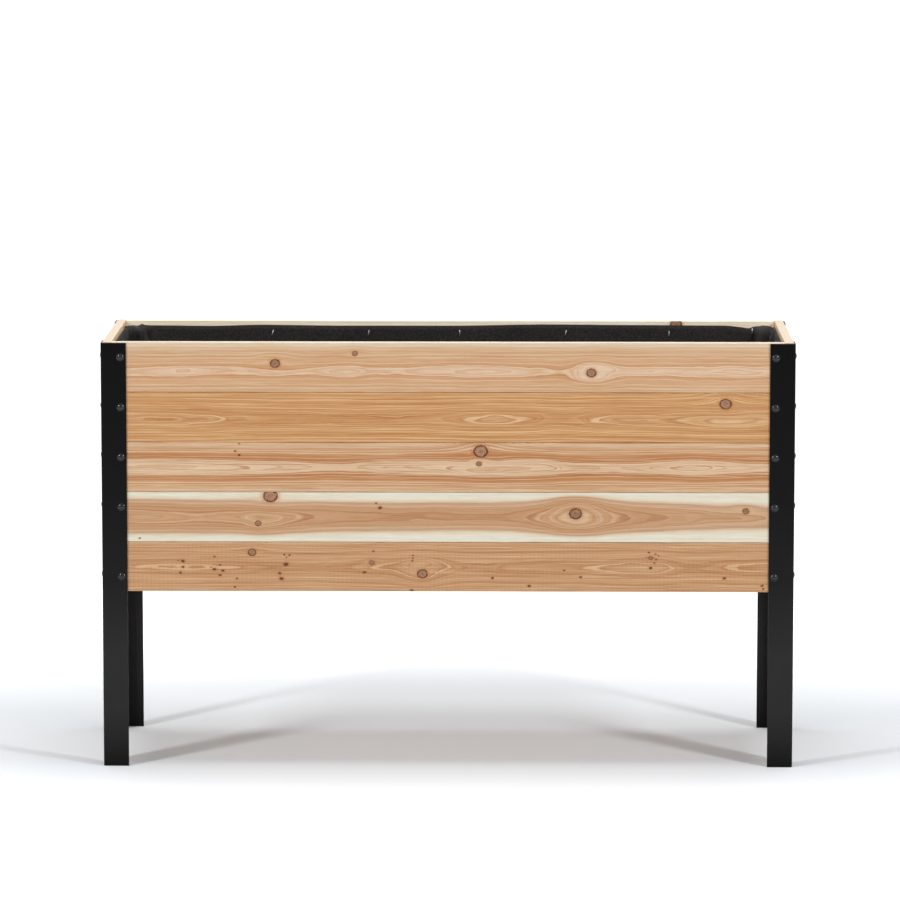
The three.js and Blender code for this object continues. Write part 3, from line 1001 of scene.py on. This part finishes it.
def drill_bit(place, height, reach):
    """A cutter along Y."""
    profile = [(HOLE_RADIUS, -reach), (HOLE_RADIUS, 2 * reach)]
    points, faces = lathe(profile, HOLE_SIDES)
    moved = [(x + place, y, z + height) for x, y, z in points]
    mesh = mesh_of("bit", moved, faces, STEEL)
    return bpy.data.objects.new("bit", mesh)


WALLS = {
    "front": (0.0, lambda low, high: ((low.x + high.x) / 2, low.y)),
    "back": (math.pi, lambda low, high: ((low.x + high.x) / 2, high.y)),
    "left": (-math.pi / 2, lambda low, high: (low.x, (low.y + high.y) / 2)),
    "right": (math.pi / 2, lambda low, high: (high.x, (low.y + high.y) / 2)),
}


def make_board(wall, row, material):
    turn, corner_of = WALLS[wall]
    node = f"{wall}_board_{row}"
    low, high = box_mm(node)
    x, y = corner_of(low, high)
    long_wall = wall in ("front", "back")
    length = (high.x - low.x) if long_wall else (high.y - low.y)
    corner = LONG_BOARD_CORNER if long_wall else END_BOARD_CORNER
    spread = (HALF_LENGTH if long_wall else HALF_DEPTH) - BOLT_FROM_CORNER
    seed = row + 10 * list(WALLS).index(wall)
    mesh = board_mesh(f"{wall}_wall_board_{row}", row, length, corner, seed, material)
    piece = link(f"{wall}_wall_board_{row}", mesh)
    height = bolt_height(row) - low.z
    drilled(piece, [drill_bit(side * spread, height, BOARD_THICKNESS) for side in (-1, 1)])
    piece.matrix_world = Matrix.Translation(Vector((x, y, low.z)) * MM) @ Matrix.Rotation(turn, 4, "Z")
    even_shading(piece)
    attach(piece, "root")
    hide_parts(node)


# ---------------------------------------------------------------- legs

STEEL_THICKNESS = 2.5
FLANGE = 45.0
INNER_BEND = 1.5
EDGE_ROUND = 0.35


def leg_mesh(name, material):
    """An angle standing on its corner, with its flanges along +X and +Y."""
    thick = STEEL_THICKNESS
    corners = [
        (0, 0, thick + INNER_BEND),
        (FLANGE, 0, EDGE_ROUND),
        (FLANGE, thick, EDGE_ROUND),
        (thick, thick, INNER_BEND),
        (thick, FLANGE, EDGE_ROUND),
        (0, FLANGE, EDGE_ROUND),
    ]
    outline = rounded(corners, 8)
    centre = Vector((FLANGE * 0.3, FLANGE * 0.3))
    rings = []
    for height, pull in ((0, 0.006), (0.3, 0.0), (LEG_HEIGHT - 0.3, 0.0), (LEG_HEIGHT, 0.006)):
        rings.append([(*(Vector(point).lerp(centre, pull)), height) for point in outline])
    points, faces = loft(rings)
    return mesh_of(name, points, faces, material)


def make_leg(depth_name, side_name, material):
    x_side = -1 if side_name == "left" else 1
    y_side = -1 if depth_name == "front" else 1
    name = f"angle_leg_{depth_name}_{side_name}"
    piece = link(name, leg_mesh(name, material))
    bits = []
    for row in ROWS:
        height = bolt_height(row)
        bits.append(drill_bit(BOLT_FROM_CORNER, height, STEEL_THICKNESS))
        turned = drill_bit(-BOLT_FROM_CORNER, height, STEEL_THICKNESS)
        turned.data.transform(Matrix.Rotation(-math.pi / 2, 4, "Z"))
        bits.append(turned)
    drilled(piece, bits)
    piece.data.transform(Matrix.Diagonal((-x_side, -y_side, 1, 1)))
    if x_side * y_side < 0:
        piece.data.flip_normals()
    piece.matrix_world = Matrix.Translation(Vector((x_side * HALF_LENGTH, y_side * HALF_DEPTH, 0)) * MM)
    even_shading(piece)
    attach(piece, "root")
    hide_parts(f"leg_{depth_name}_{side_name}")


# ---------------------------------------------------------------- bolts

HEAD_RADIUS = 7.0
HEAD_RIM = 0.6  # the height of the rim below the dome
WASHER_RADIUS = 8.0
WASHER_THICKNESS = 1.5
NUT_ACROSS = 10.0
NUT_HEIGHT = 5.0
SHANK_RADIUS = 3.0
SEAT = 0.3
THREAD_PITCH = 1.0
THREAD_DEPTH = 0.4
BOLT_SIDES = 40
DOME_STEPS = 10


def hex_nut(start, end):
    """A nut along Y with its corners turned down at both ends."""
    flat = NUT_ACROSS / 2
    corner = flat / math.cos(math.pi / 6)
    sides = 24
    rings = []
    for along, reach in ((start, flat), (start + 0.7, corner), (end - 0.7, corner), (end, flat)):
        ring = []
        for side in range(sides):
            angle = 2 * math.pi * side / sides
            edge = flat / math.cos((angle + math.pi / 6) % (math.pi / 3) - math.pi / 6)
            radius = min(edge, reach)
            ring.append((radius * math.cos(angle), along, radius * math.sin(angle)))
        rings.append(ring)
    return loft(rings)


def bolt_mesh(material):
    """A bolt along Y, as it sits in a leg whose outer face is at y = 0."""
    dome = HEAD_HEIGHT - SEAT - HEAD_RIM
    curve = (HEAD_RADIUS ** 2 + dome ** 2) / (2 * dome)
    widest = math.asin(HEAD_RADIUS / curve)
    profile = [(0.02, -HEAD_HEIGHT)]
    for step in range(1, DOME_STEPS + 1):
        angle = widest * step / DOME_STEPS
        profile.append((curve * math.sin(angle), -HEAD_HEIGHT + curve * (1 - math.cos(angle))))
    profile += [(HEAD_RADIUS, -SEAT - 0.15), (HEAD_RADIUS - 0.2, -SEAT), (SHANK_RADIUS, -SEAT)]
    washer_start = BOARD_OUTER + BOARD_THICKNESS + SEAT
    nut_end = washer_start + WASHER_THICKNESS + NUT_HEIGHT
    profile += [(SHANK_RADIUS, nut_end)]
    along = nut_end
    while along + THREAD_PITCH < BOLT_END - 0.2:
        profile.append((SHANK_RADIUS - THREAD_DEPTH, along + THREAD_PITCH / 2))
        profile.append((SHANK_RADIUS, along + THREAD_PITCH))
        along += THREAD_PITCH
    profile += [(SHANK_RADIUS - 0.5, BOLT_END), (0.02, BOLT_END)]
    outer = WASHER_RADIUS
    inner = SHANK_RADIUS + 0.05
    washer_end = washer_start + WASHER_THICKNESS
    washer = [(inner, washer_start), (outer - 0.2, washer_start), (outer, washer_start + 0.2)]
    washer += [(outer, washer_end - 0.2), (outer - 0.2, washer_end), (inner, washer_end)]
    points, faces = [], []
    for part in (lathe(profile, BOLT_SIDES), lathe(washer, BOLT_SIDES), hex_nut(washer_end, nut_end)):
        shift = len(points)
        points += part[0]
        faces += [tuple(index + shift for index in face) for face in part[1]]
    return mesh_of("bolt", points, faces, material)


def make_bolts(material):
    mesh = bolt_mesh(material)
    for wall, (turn, _) in WALLS.items():
        long_wall = wall in ("front", "back")
        spread = (HALF_LENGTH if long_wall else HALF_DEPTH) - BOLT_FROM_CORNER
        reach = HALF_DEPTH if long_wall else HALF_LENGTH
        stand = Matrix.Rotation(turn, 4, "Z")
        for side in (-1, 1):
            for row in ROWS:
                place = stand @ (Vector((side * spread, -reach, bolt_height(row))) * MM)
                ends = ("left", "right") if long_wall else ("front", "back")
                forward = place.x > 0 if long_wall else place.y > 0
                name = f"{wall}_{ends[forward]}_{row}"
                twist = Matrix.Rotation(random.Random(name).uniform(0, 1), 4, "Y")
                piece = link(f"dome_bolt_{name}", mesh, Matrix.Translation(place) @ stand @ twist)
                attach(piece, "root")
                if long_wall:
                    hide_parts(f"bolt_{name}")


# ---------------------------------------------------------------- floor of the box

BLOCK_EDGE = 1.2
LEDGER_SCREWS = 5
SCREW_FROM_END = 60.0
SCREW_ZIGZAG = 6.0


def block_mesh(name, low, high, material):
    """A sawn length of timber with softened edges, slightly uneven along its longest side."""
    made = bmesh.new()
    size = high - low
    bmesh.ops.create_cube(made, size=1.0)
    middle = [(low[axis] + high[axis]) / 2 for axis in range(3)]
    for vert in made.verts:
        vert.co = Vector((vert.co[axis] * size[axis] + middle[axis] for axis in range(3))) * MM
    long_axis = max(range(3), key=lambda axis: size[axis])
    half = size[long_axis] * MM / 2
    along = [edge for edge in made.edges if abs((edge.verts[0].co - edge.verts[1].co)[long_axis]) > half]
    bmesh.ops.subdivide_edges(made, edges=along, cuts=12, use_grid_fill=True)
    hard = [edge for edge in made.edges if edge.calc_face_angle(0) > 1]
    bmesh.ops.bevel(made, geom=hard, offset=BLOCK_EDGE * MM, segments=2, affect="EDGES", profile=0.6)
    centre = (low + high) / 2 * MM
    for vert in made.verts:
        uneven = noise.noise(vert.co * 14) * 0.25 * MM
        for axis in range(3):
            if axis != long_axis and size[axis] < 50:
                vert.co[axis] -= abs(uneven) * (1 if vert.co[axis] > centre[axis] else -1)
    mesh = bpy.data.meshes.new(name)
    made.to_mesh(mesh)
    made.free()
    mesh.shade_smooth()
    mesh.set_sharp_from_angle(angle=math.radians(CREASE))
    mesh.materials.append(material)
    return mesh


def make_floor_timber(name, node, material):
    low, high = box_mm(node)
    piece = link(name, block_mesh(name, low, high, material))
    even_shading(piece)
    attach(piece, "root")
    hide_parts(node)


def screw_mesh(material):
    """A pan-head screw along Y, its head towards -Y."""
    head = [(0.02, -2.4), (2.0, -2.3), (3.4, -1.7), (4.0, -0.8), (4.0, 0.0)]
    shank = [(1.8, 0.0), (1.8, 24.0), (0.02, 27.0)]
    points, faces = lathe(head + shank, 20)
    return mesh_of("ledger_screw", points, faces, material)


def make_ledger_screws(material):
    mesh = screw_mesh(material)
    for wall, y_side in (("front", -1), ("back", 1)):
        low, high = box_mm(f"ledger_{wall}")
        face = high.y if y_side < 0 else low.y
        turn = Matrix.Rotation(math.pi if y_side < 0 else 0, 4, "Z")
        run = high.x - low.x - 2 * SCREW_FROM_END
        for index in range(LEDGER_SCREWS):
            x = low.x + SCREW_FROM_END + run * index / (LEDGER_SCREWS - 1)
            z = (low.z + high.z) / 2 + (SCREW_ZIGZAG if index % 2 else -SCREW_ZIGZAG)
            place = Matrix.Translation(Vector((x, face, z)) * MM)
            piece = link(f"ledger_screw_{wall}_{index + 1}", mesh, place @ turn)
            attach(piece, "root")


# ---------------------------------------------------------------- liner

LINER_LOW, LINER_HIGH = box_mm("liner")
LINER_CUT = 34.0
LINER_ROUND = 14.0
CORNER_REACH = 52.0  # how far from a corner its folds fade out
SLACK = 3.0
SMALL_SLACK = 1.4
CRUMPLE = 3.0
LINER_FOOT_BEND = 10.0
LINER_ROWS = 44
LINER_FLOOR_LOOPS = 14
ABOVE_NUTS = bolt_height(1) + 10
EDGE_INSET = 1.5
LINER_THICKNESS = 1.2
# How far the liner's edge rises above its level along the back wall, as (x, rise).
BACK_EDGE = ((-600, -1.5), (-545, -0.5), (-440, -1.4), (-345, 0.8), (-200, -0.5), (0, -0.4), (180, 2.2),
             (350, 1.2), (500, 0.6), (540, -2.5), (556, -1.0), (600, -0.5))
# The folds in a corner, each as (place, half width, depth, rise of the edge, lean). A place is measured
# from the middle of the corner: less than 0 is on the long wall, more than 0 on the end wall.
LEFT_BACK_FOLDS = ((-18, 3.5, 12, 3.0, 0.0), (-10, 3, -3, -2.5, 0.1), (4, 6, 11, 0.5, -0.5),
                   (26, 5, 8, 1.0, 0.9))
RIGHT_BACK_FOLDS = ((-32, 6, 3, -2.5, 0.0), (-6, 11, 17, 1.5, 0.3), (14, 3, -4, -2.0, 0.2),
                    (24, 4, 9, 1.0, 0.4), (42, 5, 7, 1.5, -0.3))
FRONT_FOLDS = ((-28, 6, 8, 1.0, 0.2), (-4, 9, 12, 0.5, -0.2), (20, 5, 7, -1.0, 0.3), (40, 7, 8, 1.0, 0.0))


def liner_path(spacing):
    """Points round the inside of the walls, as (point, outward, distance to its corner, corner)."""
    x, y, cut = LINER_HIGH.x - EDGE_INSET, LINER_HIGH.y - EDGE_INSET, LINER_CUT
    bends = [(x - cut, -y), (x, cut - y), (x, y - cut), (x - cut, y)]
    bends += [(cut - x, y), (-x, y - cut), (-x, cut - y), (cut - x, -y)]
    outline = [Vector(point) for point in rounded([(*bend, LINER_ROUND) for bend in bends], 6)]
    outline.append(outline[0])
    walked = []
    for here, there in zip(outline, outline[1:]):
        steps = max(1, round((there - here).length / spacing))
        walked += [here.lerp(there, step / steps) for step in range(steps)]
    points = []
    for index, point in enumerate(walked):
        along = walked[(index + 1) % len(walked)] - walked[index - 1]
        outward = Vector((along.y, -along.x)).normalized()
        corner = nearest_corner(point)
        points.append((point, outward, (point - corner).length, corner))
    return points


def level_between(stops, value):
    """The value of a line through the stops, eased between them."""
    for (x0, y0), (x1, y1) in zip(stops, stops[1:]):
        if value <= x1:
            share = max(0.0, (value - x0) / (x1 - x0))
            return y0 + (y1 - y0) * share * share * (3 - 2 * share)
    return stops[-1][1]


def corner_folds(point, corner, below=0.0):
    """How far the folds at a point near a corner stand in, and how far they lift the edge."""
    side_x = math.copysign(1, corner.x)
    side_y = math.copysign(1, corner.y)
    along = ((point.x - corner.x) * side_x - (point.y - corner.y) * side_y) / math.sqrt(2)
    folds = FRONT_FOLDS
    if side_y > 0:
        folds = LEFT_BACK_FOLDS if side_x < 0 else RIGHT_BACK_FOLDS
    depth = 0.0
    rise = 0.0
    for place, width, fold_depth, fold_rise, lean in folds:
        share = math.exp(-abs((along - place - lean * below) / width) ** 1.5)
        depth += fold_depth * share
        rise += fold_rise * share
    return depth, rise


def liner_inward(point, far, corner, height, top):
    """How far the cloth stands in from the wall line: slack between staples and folds in the corners."""
    below = top - height
    slack = noise.noise(Vector((point.x * 0.006, point.y * 0.006, height * 0.004)))
    small = noise.noise(Vector((point.x * 0.03, point.y * 0.03 + 9, height * 0.016)))
    loose = SLACK * max(0.0, slack + 0.25) + SMALL_SLACK * max(0.0, small)
    inward = 0.8 + loose * min(1.0, below / 40)
    near = math.exp(-((far / CORNER_REACH) ** 4))
    folds, _ = corner_folds(point, corner, below)
    crumple = noise.noise(Vector((point.x * 0.05, point.y * 0.05, height * 0.03)))
    open_out = min(1.0, 0.6 + below / 90)
    clear_of_nuts = max(0.0, min(1.0, (height - ABOVE_NUTS) / 12))
    into_corner = 20.0 * max(0.0, 1 - (far / 34) ** 2) * clear_of_nuts
    return inward + near * (1.5 + folds * open_out + CRUMPLE * crumple) - into_corner


def nearest_corner(point):
    """The middle of the cut across the corner that a point is nearest to."""
    x = LINER_HIGH.x - EDGE_INSET - LINER_CUT / 2
    y = LINER_HIGH.y - EDGE_INSET - LINER_CUT / 2
    return Vector((math.copysign(x, point.x), math.copysign(y, point.y)))


def liner_top(point, far, corner):
    """The height of the cloth's edge at a point of its path."""
    wave = 1.6 * noise.noise(Vector((point.x * 0.008, point.y * 0.01, 3.0)))
    if point.y > LINER_HIGH.y - 12:
        wave = level_between(BACK_EDGE, point.x)
    _, rise = corner_folds(point, corner)
    bunch = math.exp(-((far / CORNER_REACH) ** 4)) * rise
    return LINER_HIGH.z - 0.5 + min(3.2, wave + bunch)


def make_liner(material):
    """One sheet: loops round the walls from the edge down, then in over the floor."""
    path = liner_path(5.0)
    foot = LINER_LOW.z + LINER_FOOT_BEND
    loops = []
    for row in range(LINER_ROWS + 1):
        share = row / LINER_ROWS
        loop = []
        for point, outward, far, corner in path:
            top = liner_top(point, far, corner)
            height = top + (foot - top) * share
            inset = liner_inward(point, far, corner, height, top)
            at = point - outward * inset
            reach = LINER_HIGH.xy - Vector((0.7, 0.7))
            x = max(-reach.x, min(reach.x, at.x))
            y = max(-reach.y, min(reach.y, at.y))
            loop.append((x, y, height))
        loops.append(loop)
    floor_level = LINER_LOW.z + LINER_THICKNESS
    wall_foot = loops[-1]
    for step in range(1, LINER_FLOOR_LOOPS + 1):
        share = step / LINER_FLOOR_LOOPS
        loop = []
        for x, y, z in wall_foot:
            spine = max(-LINER_HIGH.x + LINER_HIGH.y, min(LINER_HIGH.x - LINER_HIGH.y, x))
            at = Vector((x + (spine - x) * share, y * (1 - share)))
            fade = max(0.0, 1 - share * 9)
            wrinkle = 2.2 * abs(noise.noise(Vector((at.x * 0.012, at.y * 0.02, 5.0))))
            wrinkle += 1.2 * max(0.0, noise.noise(Vector((at.x * 0.05, at.y * 0.05, 8.0))))
            loop.append((at.x, at.y, floor_level + wrinkle * (1 - fade) + (z - floor_level) * fade * fade))
        loops.append(loop)
    points, faces = loft(loops, closed_ends=False)
    mesh = mesh_of("ground_cloth_liner", points, faces, material, sharp=180)
    piece = link("ground_cloth_liner", mesh)
    thick = piece.modifiers.new("cloth_thickness", "SOLIDIFY")
    thick.thickness = LINER_THICKNESS * MM
    thick.offset = 0.0
    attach(piece, "root")
    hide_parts("liner")
    return piece


STAPLE_CROWN = 9.5
STAPLE_LEG = 5.0
STAPLE_WIRE = 0.62  # half the wire's width
WIRE_SIDES = 8
# Along the long walls: (x, distance below the box's top, lean in degrees).
LONG_STAPLES = (
    (-560, 17, 12),
    (-325, 22, 20),
    (-149, 22, 8),
    (18, 22, -6),
    (212, 22, 14),
    (401, 23, 3),
    (553, 18, 2),
)
# Along the end walls, in the same way.
END_STAPLES = ((-40, 28, 10), (40, 28, -8))


def staple_mesh(material):
    """A wire staple with its crown along Z and its legs towards +Y."""
    half = STAPLE_CROWN / 2
    line = [(0, STAPLE_LEG, -half), (0, 1.2, -half), (0, 0.35, -half + 0.35), (0, 0, -half + 1.2)]
    line += [(0, 0, half - 1.2), (0, 0.35, half - 0.35), (0, 1.2, half), (0, STAPLE_LEG, half)]
    rings = []
    for index, point in enumerate(line):
        before = Vector(line[max(0, index - 1)])
        after = Vector(line[min(len(line) - 1, index + 1)])
        forward = (after - before).normalized()
        across = Vector((1, 0, 0))
        up = forward.cross(across)
        ring = []
        for side in range(WIRE_SIDES):
            angle = 2 * math.pi * side / WIRE_SIDES
            offset = across * math.cos(angle) * STAPLE_WIRE + up * math.sin(angle) * STAPLE_WIRE * 0.7
            ring.append(tuple(Vector(point) + offset))
        rings.append(ring)
    points, faces = loft(rings)
    return mesh_of("staple", points, faces, material, sharp=50)


def make_staples(material):
    mesh = staple_mesh(material)
    rows = {
        "back": (0.0, LINER_HIGH.y, LONG_STAPLES),
        "front": (math.pi, LINER_HIGH.y, LONG_STAPLES),
        "left": (math.pi / 2, LINER_HIGH.x, END_STAPLES),
        "right": (-math.pi / 2, LINER_HIGH.x, END_STAPLES),
    }
    for wall, (turn, reach, places) in rows.items():
        for index, (x, drop, lean) in enumerate(places):
            stand = Matrix.Rotation(turn, 4, "Z")
            spot = (stand @ Vector((x, reach, 0))).xy
            corner = nearest_corner(spot)
            far = (spot - corner).length
            height = BOX_TOP - drop
            inset = liner_inward(spot, far, corner, height, liner_top(spot, far, corner))
            proud = EDGE_INSET + inset + LINER_THICKNESS / 2 + STAPLE_WIRE
            place = stand @ (Vector((x, reach - proud, height)) * MM)
            tilt = Matrix.Rotation(math.radians(lean), 4, "Y")
            piece = link(f"staple_{wall}_{index + 1}", mesh, Matrix.Translation(place) @ stand @ tilt)
            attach(piece, "root")


# ---------------------------------------------------------------- building it

STEEL = black_steel()
BOLT = coated("black_bolt_coat", (2, 2, 3), gloss=0.94, ripple=0.0, specular=0.36)
WIRE = coated("staple_wire", (204, 204, 203), gloss=0.6, ripple=0.1, metallic=1.0)
ROUGH = rough_cedar()

for wall_name in WALLS:
    half_board = HALF_LENGTH if wall_name in ("front", "back") else HALF_DEPTH
    for board_row in ROWS:
        if wall_name == "front":
            wood_of_board = FRONT_TIMBER[board_row]
        elif wall_name == "back" and board_row == 1:
            wood_of_board = back_top_timber()
        else:
            number = 100 + 10 * list(WALLS).index(wall_name) + board_row
            # The end walls' top boards are made paler: painted light standing in for the lamp light on their
            # inner faces.
            end_with_painted_light = wall_name in ("left", "right") and board_row == 1
            wood = mixed_with_painted_light(PEACH, 0.55) if end_with_painted_light else None
            wood_of_board = other_timber(board_row, number, half_board, wood)
        make_board(wall_name, board_row, cedar(f"cedar_{wall_name}_{board_row}", wood_of_board))

for depth_part in ("front", "back"):
    for side_part in ("left", "right"):
        make_leg(depth_part, side_part, STEEL)

make_bolts(BOLT)
for ledger_side in ("front", "back"):
    make_floor_timber(f"floor_ledger_{ledger_side}", f"ledger_{ledger_side}", ROUGH)
for slat in range(1, 9):
    make_floor_timber(f"bottom_slat_{slat}", f"floor_slat_{slat}", ROUGH)
make_ledger_screws(BOLT)
LINER = make_liner(ground_cloth())
make_staples(WIRE)


# ---------------------------------------------------------------- studio

KEY_PLACE = (2.6, -2.5, 2.3)
KEY_SIZE = (0.4, 0.9)
KEY_POWER = 58
OVERHEAD_SIZE = (2.6, 1.6)
OVERHEAD_POWER = 65
FILL = 0.25
FLOOR_HALF = 30.0
FLOOR_COLOUR = (0.825, 0.86, 0.895, 1.0)


def area_lamp(name, place, aim, size, power):
    data = bpy.data.lights.new(name, "AREA")
    data.shape = "RECTANGLE"
    data.size, data.size_y = size
    data.energy = power
    lamp = bpy.data.objects.new(name, data)
    SCENE.collection.objects.link(lamp)
    lamp.location = place
    lamp.rotation_euler = (Vector(aim) - Vector(place)).to_track_quat("-Z", "Y").to_euler()


def seen_directly(bench):
    """1 for what the camera sees, also in metal and through glass, and 0 for the light on the object."""
    path = bench.node("ShaderNodeLightPath").outputs
    seen = bench.math("MAXIMUM", path["Is Camera Ray"], path["Is Glossy Ray"])
    return bench.math("MAXIMUM", seen, path["Is Transmission Ray"])


def make_studio():
    """Two lamps in front, one overhead and a white room."""
    key_x, key_y, key_z = KEY_PLACE
    for name, x in (("key_left", -key_x), ("key_right", key_x)):
        area_lamp(name, (x, key_y, key_z), (0.0, 0.0, 0.5), KEY_SIZE, KEY_POWER)
    area_lamp("overhead", (0.0, 0.1, 3.0), (0.0, 0.0, 0.0), OVERHEAD_SIZE, OVERHEAD_POWER)
    world = bpy.data.worlds.new("studio")
    SCENE.world = world
    world.use_nodes = True
    world.node_tree.nodes.clear()
    bench = Bench(world.node_tree)
    level = bench.times_plus(seen_directly(bench), 1.0 - FILL, FILL)
    background = bench.node("ShaderNodeBackground", {"Color": (1.0, 1.0, 1.0, 1.0), "Strength": level})
    output = bench.node("ShaderNodeOutputWorld")
    bench.put(output.inputs["Surface"], background.outputs[0])


def make_studio_floor():
    """A pale floor that keeps the shadow. Its glow is weak near the planter and rises to white away from it:
    painted shade round the planter.

    Its colour is a little cool, against the warm light that the wood throws on it.
    """
    size = FLOOR_HALF
    mesh = bpy.data.meshes.new("studio_floor")
    corners = [(-size, -size, 0), (size, -size, 0), (size, size, 0), (-size, size, 0)]
    mesh.from_pydata(corners, [], [(0, 1, 2, 3)])
    floor = link("studio_floor", mesh)
    material = bpy.data.materials.new("studio_floor")
    material.use_nodes = True
    tree = material.node_tree
    tree.nodes.clear()
    bench = Bench(tree)
    surface = bench.node("ShaderNodeBsdfDiffuse", {"Color": FLOOR_COLOUR})
    seen = seen_directly(bench)
    place = bench.node("ShaderNodeTexCoord").outputs["Object"]
    from_middle = bench.vector("SUBTRACT", place, (0.0, 0.1, 0.0))
    away = bench.vector("LENGTH", bench.scaled(from_middle, (0.6, 1.3, 0.0)))
    # The glow is weak near the planter and full away from it: painted shade on the floor round the planter.
    glow_with_painted_shade = bench.steps(away, 0.5, 1.8, 0.05, 1.0)
    glow = bench.node("ShaderNodeEmission", {"Strength": bench.times(seen, glow_with_painted_shade)})
    both = bench.node("ShaderNodeAddShader")
    tree.links.new(surface.outputs[0], both.inputs[0])
    tree.links.new(glow.outputs[0], both.inputs[1])
    output = bench.node("ShaderNodeOutputMaterial")
    tree.links.new(both.outputs[0], output.inputs["Surface"])
    mesh.materials.append(material)


make_studio()
make_studio_floor()
SCENE.view_settings.view_transform = "Standard"
